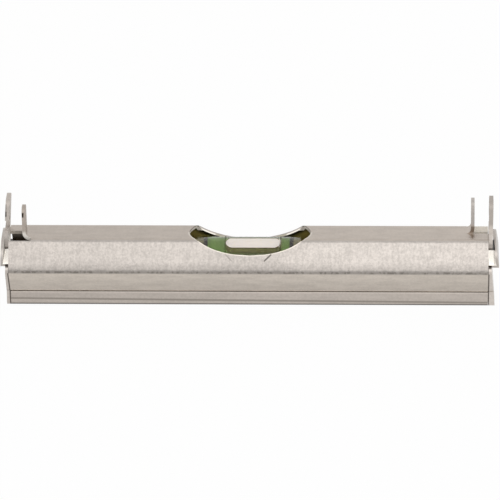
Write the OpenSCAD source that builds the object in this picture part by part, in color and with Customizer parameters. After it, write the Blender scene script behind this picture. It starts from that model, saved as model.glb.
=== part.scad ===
// Line level: a folded hexagonal tube with a window over a bubble vial, a base
// channel below it, and an end plate, a string hook and a folded tongue at each end.
// X runs along the tube, -Y is the front, Z is up. The origin is the middle of the
// underside. The two ends are built alike, turned half round about Z.

/* [Tube] */
// Length of the hexagonal tube
tube_len = 76.2; // [60:0.1:120]
// Gap between the vial and the tube's inner faces, which sets the width of the hexagon
vial_room = 0.67; // [0.2:0.01:1.2]
// Sheet thickness of the tube
tube_wall = 0.55; // [0.3:0.05:0.65]
// Outer bend radius along the tube's folds
tube_fold_r = 1; // [0.8:0.05:1.3]

/* [Window] */
// Length of the oval window along the tube
window_len = 19.3; // [17:0.1:24]
// Reach of the oval to the front, measured around the tube from the middle of its top
window_front = 5.2; // [4.4:0.1:6]
// Reach of the oval to the back, measured around the tube from the middle of its top
window_back = 6.7; // [5:0.1:7]
// Power of the oval's curve to the front: 2 is an ellipse, and less makes its tips more pointed
window_front_power = 2.05; // [1.6:0.05:2.4]
// Power of the oval's curve to the back
window_back_power = 1.75; // [1.6:0.05:2.4]
// Distance of the oval's middle from the middle of the tube, to the right
window_x = 0.25; // [-1:0.05:1]

/* [Tongues] */
// Width of the tongue that is folded up out of the top face
tongue_w = 2.4; // [2:0.1:3.4]
// Open length of the top face between the tongue and the end of the tube
tongue_gap = 2.2; // [1.6:0.1:4]
// Height of the left tongue above the tube
left_tongue_h = 5; // [3:0.1:7]
// Height of the right tongue above the tube
right_tongue_h = 5.5; // [3:0.1:7]
// Inner radius of the tongue's fold
tongue_fold_r = 0.8; // [0.4:0.05:1.2]
// Radius of the tongue's top corners
tongue_round = 0.8; // [0.3:0.05:1.2]
// Width of the slit cut beside the tongue, at the tube's fold
tongue_slit = 0.65; // [0.3:0.05:0.8]

/* [Base channel] */
// Height of the channel that the tube stands on
base_h = 2.75; // [2:0.05:4]
// Outer width of the channel
base_w = 5.2; // [4.6:0.05:5.6]
// Sheet thickness of the channel
base_wall = 0.55; // [0.4:0.05:0.7]
// Outer bend radius along the channel's lower edges
base_fold_r = 1.1; // [0.8:0.05:1.4]

/* [End plates] */
// Sheet thickness of the end plates
plate_t = 0.45; // [0.3:0.05:0.7]
// Height above the tube's axis of the step out to the shield
step_rise = 0.7; // [0.4:0.05:1.2]
// Width of the shield above the step
shield_w = 8.8; // [7:0.1:9]
// Radius of the shield's top corners
shield_round = 3.6; // [1:0.1:4]
// How far the shield's top edge lies below the top of the tube
shield_drop = 0.15; // [0:0.05:0.6]
// Inward lean of the left shield, in degrees, up to its top edge at the hook
left_shield_lean = 2; // [0:0.1:6]
// Inward lean of the right shield, in degrees, up to its top edge at the hook
right_shield_lean = 8.5; // [0:0.1:10]
// Gap between the tube's left end and the rim of its end plate's skirt
left_skirt_gap = 0.05; // [0.05:0.05:0.4]
// Gap between the tube's right end and the rim of its end plate's skirt
right_skirt_gap = 0.05; // [0.05:0.05:0.4]
// Outward lean of the left skirt, in degrees
left_skirt_lean = 1.4; // [0.5:0.1:6]
// Outward lean of the right skirt, in degrees
right_skirt_lean = 4.2; // [0.5:0.1:6]
// Length of the foot tab that lies on the floor of the channel
foot_len = 5; // [3:0.5:10]

/* [String hooks] */
// Width of the hook strip
hook_w = 4; // [3.4:0.1:4.4]
// Sheet thickness of the hook strip
hook_t = 0.65; // [0.3:0.05:0.7]
// Height of the left hook above the tube
left_hook_h = 6.4; // [5:0.1:9]
// Height of the right hook above the tube
right_hook_h = 6.1; // [5:0.1:9]
// Inward lean of the left hook above the tube, in degrees; less than 0 leans out
left_hook_lean = 3.8; // [-2:0.1:5]
// Inward lean of the right hook above the tube, in degrees; less than 0 leans out
right_hook_lean = -0.6; // [-2:0.1:5]
// Length of the hook strip that is held below the top of the tube
hook_tail = 2; // [1:0.1:2.6]
// Radius of the hook's top corners
hook_round = 1.3; // [0.5:0.1:1.7]
// Height of the string notch
notch_h = 1.8; // [1:0.1:2.4]
// Depth of the string notch, from the edge of the strip
notch_depth = 2.6; // [1.8:0.1:2.8]
// Height of the notch's lower edge above the tube
notch_rise = 1.1; // [0.6:0.1:2]

/* [Vial] */
// Outer diameter of the vial's barrel
vial_d = 6.9; // [6:0.1:7.2]
// Length of the vial
vial_len = 16.8; // [14:0.1:20]
// Bore of the barrel at its two ends
vial_bore_d = 5.3; // [4.6:0.1:5.6]
// How much the radius of the bore grows from its ends to its middle
vial_crown = 0.08; // [0.04:0.01:0.15]
// Length of each plug in the barrel's ends
plug_len = 1.9; // [0.8:0.1:2.4]
// Length of the bubble
bubble_len = 8.8; // [6:0.1:9.2]
// Depth of the bubble below the top of the bore
bubble_depth = 1.15; // [0.8:0.05:1.5]
// Radius of the bubble's underside across the vial
bubble_belly_r = 6; // [4:0.1:9]
// Distance of the bubble and its lines from the middle of the vial
bubble_x = 0.7; // [-1:0.1:1]
// Width of a gauge line
gauge_w = 0.3; // [0.2:0.05:0.5]
// Paint thickness of a gauge line
gauge_t = 0.05; // [0.03:0.01:0.08]
// Height of the putty bed's upper edge, below the vial's axis
bed_drop = 1.2; // [0.8:0.1:2]

/* [Clearances] */
// Gap between sheet pieces that are held against each other
sheet_fit = 0.05; // [0.02:0.01:0.1]
// Gap between the vial, its plugs, its filling and its bed
vial_fit = 0.03; // [0.02:0.01:0.06]
// Gap around the bubble
bubble_gap = 0.12; // [0.08:0.01:0.2]

/* [Hidden] */
$fn = 128;
// Extra length that lets a cut pass clear of a face
over = 1;
// Points along each arc of the oval window
window_steps = 16;
// Straight stretches along the crowned bore
crown_steps = 4;
// Height from the axis of the hexagon to its outer faces, folded around the vial
hex_flat = vial_d / 2 + vial_room + tube_wall;
// Outer width of one face of the hexagon, corner to corner
hex_side = hex_flat / cos(30);
axis_z = base_h + hex_flat;
top_z = axis_z + hex_flat;
tube_end = tube_len / 2;
// Half of the flat part of the top face, between the folds
flat_half = hex_side / 2 - tube_fold_r * tan(30);
tongue_x = tube_end - tongue_gap;
hook_x = tube_end + sheet_fit;
hold_x = hook_x + hook_t + sheet_fit;
step_z = axis_z + step_rise;
shield_h = top_z - shield_drop - step_z;
foot_w = base_w - 2 * base_fold_r;
vial_r = vial_d / 2;
bore_r = vial_bore_d / 2;
chamber_len = vial_len - 2 * plug_len;
bubble_r = bore_r - bubble_gap;
belly_z = bubble_r - bubble_depth + bubble_belly_r;
// Height and half width of the edge where the bubble's top and underside meet
rim_z = (pow(belly_z, 2) + pow(bubble_r, 2) - pow(bubble_belly_r, 2)) / (2 * belly_z);
rim_half = sqrt(pow(bubble_r, 2) - pow(rim_z, 2));
steel = [0.74, 0.71, 0.68];
bright_steel = [0.86, 0.83, 0.80];

// Turns a drawing in Y and Z into a solid that starts at x and runs along X
module along_x(x, length) {
  translate([x, 0, 0]) rotate([90, 0, 90]) linear_extrude(height = length) children();
}

// Turns a drawing in X and Z into a solid between two values of Y
module along_y(y_low, y_high) {
  translate([0, y_high, 0]) rotate([90, 0, 0]) linear_extrude(height = y_high - y_low) children();
}

// Puts a shape that is drawn at the right end at the left end
module left_end() {
  rotate([0, 0, 180]) children();
}

module rod_x(x, length, r) {
  translate([x, 0, axis_z]) rotate([0, 90, 0]) cylinder(h = length, r = r);
}

// Hexagon with round corners, centred, with a flat top
module round_hexagon(side, r) {
  reach = side - r / cos(30);
  polygon([for (k = [0 : 5]) for (turn = [-30, 30])
    reach * [cos(60 * k), sin(60 * k)] + r * [cos(60 * k + turn), sin(60 * k + turn)]]);
  for (k = [0 : 5]) translate(reach * [cos(60 * k), sin(60 * k)]) circle(r = r);
}

module tube_outline() {
  translate([0, axis_z]) round_hexagon(hex_side, tube_fold_r);
}

// Outline inside the tube, drawn in by a gap from its inner face
module tube_inside(gap) {
  inset = tube_wall + gap;
  translate([0, axis_z]) round_hexagon(hex_side - inset / cos(30), tube_fold_r - inset);
}

// Upright strip between two heights with round top corners
module strip_outline(y_low, y_high, z_low, z_high, r) {
  translate([y_low, z_low]) square([y_high - y_low, z_high - r - z_low]);
  translate([y_low + r, z_low]) square([y_high - y_low - 2 * r, z_high - z_low]);
  for (y = [y_low + r, y_high - r]) translate([y, z_high - r]) circle(r = r);
}

// Half length of the oval at a share of its reach
function oval_half(share, power) = window_len / 2 * pow(max(0, 1 - pow(share, power)), 1 / power);

// Half length of the oval at a distance around the tube, to the front of the top's middle
function window_half(girth) = girth > 0
  ? oval_half(girth / window_front, window_front_power)
  : oval_half(-girth / window_back, window_back_power);

// The part of the oval that lies between two distances around the tube
module window_part(girth_low, girth_high) {
  step = (girth_high - girth_low) / window_steps;
  girths = [for (k = [0 : window_steps]) girth_low + k * step];
  polygon(concat(
    [for (g = girths) [window_half(g), -g]],
    [for (k = [window_steps : -1 : 0]) [-window_half(girths[k]), -girths[k]]]));
}

// Cuts the oval out of the top face and the two faces beside it
module window_cut() {
  half = hex_side / 2;
  depth = 2 * tube_wall + over;
  translate([0, 0, top_z - depth]) linear_extrude(height = depth + over) window_part(-half, half);
  translate([0, -half, top_z]) rotate([60, 0, 0]) translate([0, half, -depth])
    linear_extrude(height = depth + over) window_part(half, window_front);
  translate([0, half, top_z]) rotate([-60, 0, 0]) translate([0, -half, -depth])
    linear_extrude(height = depth + over) window_part(-window_back, -half);
}

// Opens the top face from the fold of the tongue to the end of the tube
module tongue_cut() {
  x = tongue_x - tube_wall - tongue_fold_r;
  depth = 2 * tube_wall + tongue_slit;
  translate([x, flat_half - tongue_w, top_z - depth])
    cube([tube_end + over - x, tongue_w + tongue_slit, depth + over]);
}

// Tongue of the top face, folded up to stand across the tube
module tongue(h) {
  fold_x = tongue_x - tube_wall - tongue_fold_r;
  fold_z = top_z + tongue_fold_r;
  y_low = flat_half - tongue_w;
  intersection() {
    along_y(y_low, flat_half) {
      translate([fold_x - tube_wall, top_z - tube_wall]) square(tube_wall);
      translate([fold_x, fold_z]) intersection() {
        difference() {
          circle(r = tongue_fold_r + tube_wall);
          circle(r = tongue_fold_r);
        }
        translate([0, -hex_side]) square(hex_side);
      }
      translate([tongue_x - tube_wall, fold_z]) square([tube_wall, h - tongue_fold_r]);
    }
    along_x(fold_x - tube_wall, tube_end - fold_x)
      strip_outline(y_low, flat_half, top_z - tube_wall, top_z + h, tongue_round);
  }
}

module body_tube() {
  color(bright_steel) {
    difference() {
      along_x(-tube_end, tube_len) difference() {
        tube_outline();
        tube_inside(0);
      }
      translate([window_x, 0, 0]) window_cut();
      tongue_cut();
      left_end() tongue_cut();
    }
    tongue(right_tongue_h);
    left_end() tongue(left_tongue_h);
  }
}

// Section of the channel down to its round lower edges, drawn in by a wall
module channel_outline(inset, z_high) {
  r = base_fold_r - inset;
  half = base_w / 2 - inset;
  translate([-half, base_fold_r]) square([2 * half, z_high - base_fold_r]);
  translate([-half + r, inset]) square([2 * (half - r), z_high - inset]);
  for (y = [-half + r, half - r]) translate([y, base_fold_r]) circle(r = r);
}

module base_channel() {
  color(steel) along_x(-tube_end, tube_len) difference() {
    channel_outline(0, base_h);
    channel_outline(base_wall, base_h + over);
  }
}

// Outline of a skirt, drawn in by a wall: the lower half of the tube's end and the end of the base
module skirt_outline(inset) {
  intersection() {
    tube_inside(inset - tube_wall);
    translate([-hex_side, 0]) square([2 * hex_side, step_z + plate_t / 2 - inset]);
  }
  channel_outline(inset, axis_z);
}

// The space on the tube's side of a plane that leans out from the step downwards
module leaning_side(x, lean) {
  translate([x, 0, step_z]) rotate([0, -lean, 0])
    translate([-tube_end, -hex_side, -top_z]) cube([tube_end, 2 * hex_side, 2 * top_z]);
}

// Skirt of an end plate: a leaning plate with a rim that closes its side to the tube
module skirt(inner_x, lean) {
  difference() {
    intersection() {
      along_x(inner_x, hex_side) skirt_outline(0);
      leaning_side(inner_x + plate_t, lean);
    }
    intersection() {
      along_x(inner_x - over, hex_side) skirt_outline(plate_t);
      leaning_side(inner_x, lean);
    }
  }
}

// Step out over the hook's foot and the shield above it, which leans in to the hook
module step_and_shield(inner_x, lean) {
  shield_x = hold_x + (shield_h - plate_t) * tan(lean);
  intersection() {
    along_y(-shield_w, shield_w) polygon([
      [inner_x, step_z],
      [shield_x + plate_t, step_z],
      [hold_x + plate_t, step_z + shield_h],
      [hold_x, step_z + shield_h],
      [shield_x, step_z + plate_t],
      [inner_x, step_z + plate_t]]);
    along_x(tube_end, tube_end)
      strip_outline(-shield_w / 2, shield_w / 2, step_z - over, step_z + shield_h, shield_round);
  }
}

// End plate: skirt, step, shield and foot tab, bent from one sheet
module end_plate(gap, skirt_lean, shield_lean) {
  inner_x = tube_end + gap;
  foot_z = base_wall;
  foot_reach = inner_x + (step_z - foot_z) * tan(skirt_lean) + plate_t / 2;
  skirt(inner_x, skirt_lean);
  step_and_shield(inner_x, shield_lean);
  translate([tube_end - foot_len, -foot_w / 2, foot_z])
    cube([foot_reach - tube_end + foot_len, foot_w, plate_t]);
}

module left_end_plate() {
  color(steel) left_end() end_plate(left_skirt_gap, left_skirt_lean, left_shield_lean);
}

module right_end_plate() {
  color(steel) end_plate(right_skirt_gap, right_skirt_lean, right_shield_lean);
}

// Strip with a string notch that opens to the back at the right end; it leans above the tube
module string_hook(h, lean) {
  z_low = top_z - hook_tail;
  z_high = top_z + h;
  lean_in = h * tan(lean);
  intersection() {
    along_y(-hook_w, hook_w) polygon([
      [hook_x, z_low],
      [hook_x + hook_t, z_low],
      [hook_x + hook_t, top_z],
      [hook_x + hook_t - lean_in, z_high],
      [hook_x - lean_in, z_high],
      [hook_x, top_z]]);
    along_x(tongue_x, tube_end) difference() {
      strip_outline(-hook_w / 2, hook_w / 2, z_low - over, z_high, hook_round);
      translate([hook_w / 2 - notch_depth, top_z + notch_rise]) {
        translate([notch_h / 2, notch_h / 2]) circle(d = notch_h);
        translate([notch_h / 2, 0]) square([notch_depth, notch_h]);
      }
    }
  }
}

module left_string_hook() {
  color(steel) left_end() string_hook(left_hook_h, left_hook_lean);
}

module right_string_hook() {
  color(steel) string_hook(right_hook_h, right_hook_lean);
}

// Radius of the crowned bore at a distance from the middle of the vial
function chamber_r(x) = bore_r + vial_crown * (1 - pow(2 * x / chamber_len, 2));

// Crowned chamber between the plugs, drawn in by a gap
module chamber(gap) {
  half = chamber_len / 2 - gap;
  stations = [for (k = [0 : crown_steps]) half * (2 * k / crown_steps - 1)];
  translate([0, 0, axis_z]) rotate([0, 90, 0]) rotate_extrude()
    polygon(concat([[0, -half]], [for (x = stations) [chamber_r(x) - gap, x]], [[0, half]]));
}

module vial_barrel() {
  color([0.85, 0.92, 0.85, 0.5]) difference() {
    rod_x(-vial_len / 2, vial_len, vial_r);
    rod_x(-vial_len / 2 - over, vial_len + 2 * over, bore_r);
    chamber(0);
  }
}

module vial_plug() {
  rod_x(vial_len / 2 - plug_len, plug_len, bore_r - vial_fit);
}

module left_vial_plug() {
  color([0.25, 0.27, 0.24]) left_end() vial_plug();
}

module right_vial_plug() {
  color([0.25, 0.27, 0.24]) vial_plug();
}

module vial_fluid() {
  color([0.35, 0.62, 0.28, 0.7]) difference() {
    chamber(vial_fit);
    translate([0, 0, belly_z]) rod_x(-vial_len, 2 * vial_len, bubble_belly_r + bubble_gap);
  }
}

// Lens-shaped bubble with round ends, under the top of the bore
module bubble() {
  color([0.93, 0.93, 0.86]) translate([bubble_x, 0, 0]) intersection() {
    rod_x(-bubble_len, 2 * bubble_len, bubble_r);
    translate([0, 0, belly_z]) rod_x(-bubble_len, 2 * bubble_len, bubble_belly_r);
    translate([0, 0, axis_z]) linear_extrude(height = vial_d) {
      square([bubble_len - 2 * rim_half, 2 * rim_half], center = true);
      for (s = [-1, 1]) translate([s * (bubble_len / 2 - rim_half), 0]) circle(r = rim_half);
    }
  }
}

// Painted lines over the upper half of the barrel, at the two ends of the bubble
module gauge_lines() {
  inner_r = vial_r + vial_fit;
  color([0.1, 0.1, 0.1]) for (s = [-1, 1]) intersection() {
    x = bubble_x + s * bubble_len / 2 - gauge_w / 2;
    difference() {
      rod_x(x, gauge_w, inner_r + gauge_t);
      rod_x(x - over, gauge_w + 2 * over, inner_r);
    }
    translate([-vial_len, -vial_d, axis_z]) cube([2 * vial_len, 2 * vial_d, vial_d]);
  }
}

// Putty that fills the tube below the vial and holds it
module vial_bed() {
  color([0.62, 0.60, 0.54]) difference() {
    along_x(-vial_len / 2, vial_len) intersection() {
      tube_inside(vial_fit);
      translate([-hex_side, base_h]) square([2 * hex_side, hex_flat - bed_drop]);
    }
    rod_x(-vial_len, 2 * vial_len, vial_r + vial_fit);
  }
}

body_tube();
base_channel();
left_end_plate();
right_end_plate();
left_string_hook();
right_string_hook();
vial_barrel();
left_vial_plug();
right_vial_plug();
vial_fluid();
bubble();
gauge_lines();
vial_bed();
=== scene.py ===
# %% [markdown]
# # A folded sheet-metal line level
# The CAD model is the fixed frame: a hexagonal tube folded from sheet, a channel under it,
# plates and string hooks at its ends, and a bubble vial behind an oval window. This lesson
# dresses that frame. The sheet pieces keep their CAD shapes and get a satin plated finish,
# and the vial, its filling and its bubble are modelled again, because clear things need
# shapes that light can pass through.

# %% Load the frame
import math

import bpy
from mathutils import Matrix, Vector


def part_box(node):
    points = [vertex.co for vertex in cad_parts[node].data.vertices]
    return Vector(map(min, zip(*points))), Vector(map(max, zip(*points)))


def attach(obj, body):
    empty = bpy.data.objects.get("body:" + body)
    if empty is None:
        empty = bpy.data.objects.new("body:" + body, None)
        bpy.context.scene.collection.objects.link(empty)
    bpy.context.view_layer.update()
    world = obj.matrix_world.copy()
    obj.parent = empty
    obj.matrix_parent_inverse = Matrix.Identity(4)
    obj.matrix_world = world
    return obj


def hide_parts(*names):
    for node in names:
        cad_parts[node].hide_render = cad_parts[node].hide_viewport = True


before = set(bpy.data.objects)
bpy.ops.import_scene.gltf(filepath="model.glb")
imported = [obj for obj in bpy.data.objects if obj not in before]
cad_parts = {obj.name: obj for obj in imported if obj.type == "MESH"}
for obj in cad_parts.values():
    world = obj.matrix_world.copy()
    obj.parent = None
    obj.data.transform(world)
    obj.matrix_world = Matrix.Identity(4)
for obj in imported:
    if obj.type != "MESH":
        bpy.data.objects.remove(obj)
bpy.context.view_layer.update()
print("CAD nodes:", ", ".join(sorted(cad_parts)))

# %% [markdown]
# Lengths are written in millimetres, as on a drawing, and turned into metres where Blender
# needs them. The places of the vial and the tube are measured on the CAD nodes, so that
# everything here follows the model.

# %% Measure the frame
MM = 0.001


def node_box_mm(name):
    low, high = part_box(name)
    return Vector(low) / MM, Vector(high) / MM


tube_low, tube_high = node_box_mm("body_tube")
barrel_low, barrel_high = node_box_mm("vial_barrel")
fluid_low, fluid_high = node_box_mm("vial_fluid")
bubble_low, bubble_high = node_box_mm("bubble")
plug_low, plug_high = node_box_mm("left_vial_plug")
base_top = node_box_mm("base_channel")[1].z
axis_z = (barrel_low.z + barrel_high.z) / 2
barrel_r = (barrel_high.z - barrel_low.z) / 2
barrel_len = barrel_high.x - barrel_low.x
hex_flat = axis_z - base_top
top_z = axis_z + hex_flat
hex_side = hex_flat / math.cos(math.radians(30))
print(f"vial axis at z {axis_z:.3f} mm, barrel {2 * barrel_r:.2f} by {barrel_len:.2f} mm")

# %% [markdown]
# ## The picture's frame
# The camera looks along +Y from 27 degrees above the bench and a little to the right of the
# middle, far enough away that the level is almost flat in the picture. It is rolled by
# about a degree, so that the level lies straight. The picture's scale is chosen first, and
# the lens follows from it and from the distance.

# %% Camera
IMAGE_PX = 500
SENSOR_MM = 36.0
view_height = math.radians(27.0)
view_turn = math.radians(2.4)
view_roll = math.radians(-0.92)
camera_mm = 730.0
px_per_mm = 6.265
axis_row = 258.3
axis_column = 249.0

turned = (
    Matrix.Rotation(view_turn, 4, "Z")
    @ Matrix.Rotation(math.pi / 2 - view_height, 4, "X")
    @ Matrix.Rotation(view_roll, 4, "Z"))
to_right, to_top, to_camera = (turned.col[k].xyz for k in range(3))
aim = (
    Vector((0, 0, axis_z))
    + to_right * (IMAGE_PX / 2 - axis_column) / px_per_mm
    + to_top * (axis_row - IMAGE_PX / 2) / px_per_mm)
camera_data = bpy.data.cameras.new("picture_camera")
camera_data.sensor_width = SENSOR_MM
camera_data.lens = SENSOR_MM * px_per_mm * camera_mm / IMAGE_PX
camera_data.clip_start = 0.01
camera = bpy.data.objects.new("picture_camera", camera_data)
bpy.context.scene.collection.objects.link(camera)
camera.matrix_world = Matrix.Translation((aim + camera_mm * to_camera) * MM) @ turned
bpy.context.scene.camera = camera
bpy.context.scene.view_settings.view_transform = "Standard"
print(f"camera lens {camera_data.lens:.1f} mm at {camera_mm:.0f} mm")

# %% [markdown]
# ## A small kit for materials
# Every finish is a graph of nodes. It could be drawn by hand in the shader editor, but a
# script has to name each node and each link, which takes many lines. A few helpers add one
# node, join it to its inputs and hand back its output, so that a finish reads like a sum.

# %% Node helpers
def new_material(name):
    material = bpy.data.materials.new(name)
    material.use_nodes = True
    tree = material.node_tree
    return material, tree, tree.nodes["Principled BSDF"]


def add_node(tree, kind, inputs=(), **settings):
    item = tree.nodes.new(kind)
    for key, value in settings.items():
        setattr(item, key, value)
    for socket, value in inputs:
        if isinstance(value, bpy.types.NodeSocket):
            tree.links.new(value, item.inputs[socket])
        else:
            item.inputs[socket].default_value = value
    return item


def calc(tree, operation, *values):
    return add_node(tree, "ShaderNodeMath", list(enumerate(values)), operation=operation).outputs[0]


# %% [markdown]
# A mask is a number from 0 to 1 that says where a colour goes. Masks are multiplied where
# all of them must hold, and the largest is taken where any of them will do. A mask fades in
# or out over a short way, as worn plating does, or cuts off sharply at a limit.

# %% Mask helpers
def times(tree, first, *others):
    for other in others:
        first = calc(tree, "MULTIPLY", first, other)
    return first


def most(tree, first, *others):
    for other in others:
        first = calc(tree, "MAXIMUM", first, other)
    return first


def above(tree, value, limit):
    return calc(tree, "GREATER_THAN", value, limit)


def below(tree, value, limit):
    return calc(tree, "LESS_THAN", value, limit)


def away(tree, value, centre):
    return calc(tree, "ABSOLUTE", calc(tree, "SUBTRACT", value, centre))


def smooth_range(tree, value, low, high, out_low, out_high):
    item = add_node(tree, "ShaderNodeMapRange",
                    [(0, value), (1, low), (2, high), (3, out_low), (4, out_high)],
                    interpolation_type="SMOOTHSTEP")
    return item.outputs[0]


def fade_in(tree, value, low, high, strength=1.0):
    return smooth_range(tree, value, low, high, 0.0, strength)


def fade_out(tree, value, low, high, strength=1.0):
    return smooth_range(tree, value, low, high, strength, 0.0)


def band(tree, value, centre, half_width, soft):
    return fade_out(tree, away(tree, value, centre), half_width, half_width + soft)


# %% [markdown]
# All patterns read Object coordinates, turned into millimetres, so a scratch half a
# millimetre wide is written as 0.5. Noise seldom leaves the middle of its range, so that
# part is spread over the numbers that a finish needs. A colour is shaded by multiplying it
# by the same grey in all three channels.

# %% Pattern helpers
NOISE_LOW, NOISE_HIGH = 0.3, 0.7


def place_mm(tree):
    coords = add_node(tree, "ShaderNodeTexCoord").outputs["Object"]
    scaled = add_node(tree, "ShaderNodeVectorMath", [(0, coords), ("Scale", 1 / MM)], operation="SCALE")
    return scaled.outputs[0]


def split(tree, vector):
    return add_node(tree, "ShaderNodeSeparateXYZ", [(0, vector)]).outputs


def stretched(tree, vector, scale):
    return add_node(tree, "ShaderNodeMapping", [(0, vector), ("Scale", scale)]).outputs[0]


def noise(tree, vector, scale, detail=2.0, roughness=0.5):
    item = add_node(tree, "ShaderNodeTexNoise",
                    [("Vector", vector), ("Scale", scale), ("Detail", detail), ("Roughness", roughness)])
    return item.outputs[0]


def noise_range(tree, value, out_low, out_high):
    return smooth_range(tree, value, NOISE_LOW, NOISE_HIGH, out_low, out_high)


def blend_colors(tree, factor, first, second, mode="MIX"):
    item = add_node(tree, "ShaderNodeMix", [(0, factor), (6, first), (7, second)],
                    data_type="RGBA", blend_type=mode)
    return item.outputs[2]


def shaded(tree, color, shade):
    tint = add_node(tree, "ShaderNodeCombineColor", [(0, shade), (1, shade), (2, shade)]).outputs[0]
    return blend_colors(tree, 1.0, color, tint, "MULTIPLY")


# %% [markdown]
# ## The plated sheet of the tube
# The real tube is thin steel, tumbled and plated, so it is satin: the face that looks at
# the lamp is pale and shows a fine upright grain. A picture of brushed metal could be laid
# over it, but noise that is stretched along the grain needs no file and has no seams. A
# metal has no colour of its own under its gloss, so the grain goes into the colour of the
# reflection, its roughness and a slight bump.

# %% Sheet grain
SHEET = (0.453, 0.416, 0.384, 1.0)
GRAIN_LOW, GRAIN_HIGH = 0.36, 0.64


def sheet_grain(tree, place, across):
    streaks = noise(tree, stretched(tree, place, across), 1.0, 3.0, 0.65)
    speckle = noise(tree, place, 2.6, 3.0, 0.7)
    return calc(tree, "ADD", times(tree, streaks, 0.5), times(tree, speckle, 0.5))


def grain_range(tree, grain, out_low, out_high):
    return smooth_range(tree, grain, GRAIN_LOW, GRAIN_HIGH, out_low, out_high)


def grained_color(tree, grain, color, depth):
    return shaded(tree, color, grain_range(tree, grain, 1.0 - depth, 1.0 + depth))


# %% [markdown]
# The tube's finish is built up in layers, each with a mask worked out from the place on the
# sheet. The upper faces have the deepest grain, and painted shade darkens them towards the
# fold and under the window. The top gets a painted warmer light, and painted light makes the
# tube a little paler at the right.

# %% Tube upper faces
UPRIGHT_GRAIN = (1.9, 0.45, 0.45)
DRAWN_GRAIN = (0.25, 1.0, 1.0)
TOP_WARM_LIGHT = (1.045, 1.01, 0.97, 1.0)

tube_plate, tree, shader = new_material("tube_plate")
place = place_mm(tree)
x_mm, y_mm, z_mm = split(tree, place)
from_middle = calc(tree, "ABSOLUTE", x_mm)
grain = sheet_grain(tree, place, UPRIGHT_GRAIN)
drawn = sheet_grain(tree, place, DRAWN_GRAIN)
upper_face = times(
    tree, fade_in(tree, z_mm, axis_z + 0.1, axis_z + 0.6), fade_out(tree, z_mm, top_z - 0.5, top_z - 0.1))
grain_depth = times(tree, upper_face, 0.19)
grain_shade = calc(tree, "MULTIPLY_ADD", grain_range(tree, grain, -1.0, 1.0), grain_depth, 1.0)
color = shaded(tree, grained_color(tree, drawn, SHEET, 0.07), grain_shade)
# painted shade: the upper faces grow darker towards the fold
color = shaded(tree, color, smooth_range(tree, z_mm, axis_z + 0.3, axis_z + 1.8, 0.74, 1.0))
# painted light: the tube grows a little paler towards the right end
color = shaded(tree, color, smooth_range(tree, x_mm, tube_low.x, tube_high.x, 0.97, 1.045))
# painted warmer, brighter light on the top face
top_face = fade_in(tree, z_mm, top_z - 0.2, top_z - 0.05)
color = blend_colors(tree, top_face, color, TOP_WARM_LIGHT, "MULTIPLY")
# painted shade on the upper faces under the window
shade_under_window = times(tree, upper_face, fade_out(tree, from_middle, 4.0, 9.0, 0.08))
color = shaded(tree, color, calc(tree, "SUBTRACT", 1.0, shade_under_window))
print("tube's upper faces:", len(tree.nodes), "nodes")

# %% [markdown]
# The lower faces are smoother, with a faint grain along the tube, as drawn sheet has. Painted
# shade darkens them on the way down, and they end in a painted highlight above the channel.

# %% Tube lower faces
SHEET_LOWER = (0.547, 0.492, 0.434, 1.0)

lower_face = fade_out(tree, z_mm, axis_z - 0.35, axis_z + 0.05)
lower_color = grained_color(tree, drawn, SHEET_LOWER, 0.09)
# painted shade: the lower faces grow darker on the way down
shade_way_down = smooth_range(tree, z_mm, axis_z - 3.4, axis_z - 0.4, 0.88, 1.0)
# painted highlight along the lower edge, above the channel
edge_highlight = smooth_range(tree, z_mm, base_top + 0.2, base_top + 0.6, 1.6, 1.0)
lower_color = shaded(tree, shaded(tree, lower_color, shade_way_down), edge_highlight)
color = blend_colors(tree, lower_face, color, lower_color)
print("with the lower faces:", len(tree.nodes), "nodes")

# %% [markdown]
# The fold between the upper and lower faces gets a painted dark line, the shade and dark
# reflection along the bend. It swells and thins along the fold, and dark specks sit along it.
# A drawn line would look ruled, so one noise sets how wide the line is, and another sets the
# specks.

# %% Fold line
FOLD_SHADE_TONE = (0.22, 0.195, 0.17, 1.0)
SPECK = (0.13, 0.115, 0.10, 1.0)
fold_z = axis_z + 0.08

on_outside = above(tree, calc(tree, "ABSOLUTE", y_mm), tube_high.y - 0.42)
ragged = noise(tree, stretched(tree, place, (0.8, 0.2, 0.2)), 1.0, 4.0, 0.7)
fold_half = fade_in(tree, ragged, 0.35, 0.7, 0.16)
off_line = calc(tree, "SUBTRACT", away(tree, z_mm, fold_z), fold_half)
# painted shade and dark reflection along the fold
fold_line = times(tree, fade_out(tree, off_line, 0.0, 0.2, 0.28), on_outside)
color = blend_colors(tree, fold_line, color, FOLD_SHADE_TONE)
dots = noise(tree, stretched(tree, place, (1.7, 0.9, 0.9)), 1.0, 3.0, 0.6)
near_fold = times(tree, band(tree, z_mm, fold_z, 0.1, 0.16), on_outside)
specks = times(tree, fade_in(tree, dots, 0.48, 0.60), near_fold, 0.6)
color = blend_colors(tree, specks, color, SPECK)
print(f"fold line at z {fold_z:.2f} mm")

# %% [markdown]
# The window is an oval wrapped over three faces of the hexagon. Several masks need to know
# where a place lies against that oval, so the way around the tube from the middle of the top
# takes the place of a height. The sum that comes out is 1 on the oval and more outside it.

# %% Window oval
WINDOW_X = 0.25
WINDOW_HALF = 9.65
WINDOW_FRONT, WINDOW_FRONT_POWER = 5.2, 2.05
WINDOW_BACK, WINDOW_BACK_POWER = 6.7, 1.75
COS30 = math.cos(math.radians(30))


def side_depth(tree, y, z):
    half_rise = times(tree, away(tree, z, axis_z), 0.5)
    reach = calc(tree, "MULTIPLY_ADD", calc(tree, "ABSOLUTE", y), COS30, half_rise)
    return calc(tree, "SUBTRACT", hex_flat, reach)


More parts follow.
